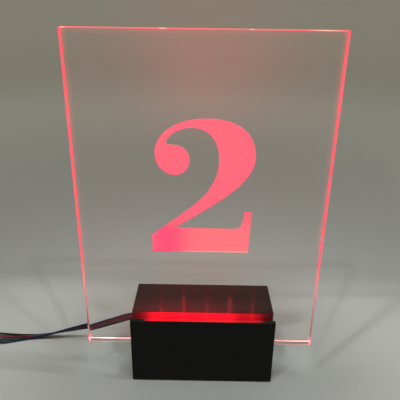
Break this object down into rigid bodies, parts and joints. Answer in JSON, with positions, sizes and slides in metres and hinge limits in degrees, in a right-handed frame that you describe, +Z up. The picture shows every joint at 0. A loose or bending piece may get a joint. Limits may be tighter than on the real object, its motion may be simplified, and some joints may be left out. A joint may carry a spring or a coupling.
{
  "type": "table number holder",
  "caption": "Edge-lit table number holder: a clear acrylic panel with an engraved numeral stands in the slot of a black sheet base with an LED strip and a flat four-core cable.",
  "frame": {"origin": "on the table, under the middle of the object without its cable", "axes": "+X to the right along the panel, +Y to the back, +Z up; the numeral faces -Y"},
  "size_m": [0.249, 0.0474, 0.2305],
  "materials": {
    "black_sheet": "satin",
    "clear_acrylic": "polished, edges lit red",
    "engraving": "frosted by laser, lit red",
    "screw_steel": "black zinc",
    "foot_rubber": "matte",
    "tape": "matte",
    "strip_board": "satin, white solder mask",
    "resistor": "matte",
    "solder": "bright",
    "led_white": "satin",
    "led_window": "clear resin, lit red",
    "core_blue": "satin PVC",
    "core_red": "satin PVC",
    "core_green": "satin PVC",
    "core_black": "satin PVC",
    "ribbon_jacket": "satin PVC",
    "nylon": "satin",
    "connector_plastic": "satin",
    "contact_metal": "bright"
  },
  "bodies": {
    "base": {"front_plate": "black_sheet", "slot_wall": "black_sheet", "rear_plate": "black_sheet", "top_plate": "black_sheet", "left_end_plate": "black_sheet", "right_end_plate": "black_sheet", "bottom_plate": "black_sheet", "light_shelf": "black_sheet", "end_block_left": "black_sheet", "end_block_right": "black_sheet", "spacer_left": "black_sheet", "spacer_right": "black_sheet", "post_front_left": "black_sheet", "post_front_right": "black_sheet", "post_rear_left": "black_sheet", "post_rear_right": "black_sheet", "cover_screws": "screw_steel", "foot_front_left": "foot_rubber", "foot_front_right": "foot_rubber", "foot_rear_left": "foot_rubber", "foot_rear_right": "foot_rubber", "strip_tape": "tape", "strip_board": "strip_board", "strip_resistors": "resistor", "solder_joints": "solder", "led_body_1": "led_white", "led_body_2": "led_white", "led_body_3": "led_white", "led_body_4": "led_white", "led_body_5": "led_white", "led_lens_1": "led_window", "led_lens_2": "led_window", "led_lens_3": "led_window", "led_lens_4": "led_window", "led_lens_5": "led_window", "inner_ribbon": "ribbon_jacket", "lead_blue": "core_blue", "lead_red": "core_red", "lead_green": "core_green", "lead_black": "core_black", "cable_tie": "nylon", "ribbon_cable": "ribbon_jacket", "connector_housing": "connector_plastic", "connector_contacts": "contact_metal"},
    "panel": {"acrylic_panel": "clear_acrylic", "engraved_numeral": "engraving"}
  },
  "joints": [
    {"name": "panel_lift", "type": "slide", "parent": "base", "child": "panel", "axis": [0, 0, 1], "range_m": [0, 0.0195]}
  ]
}
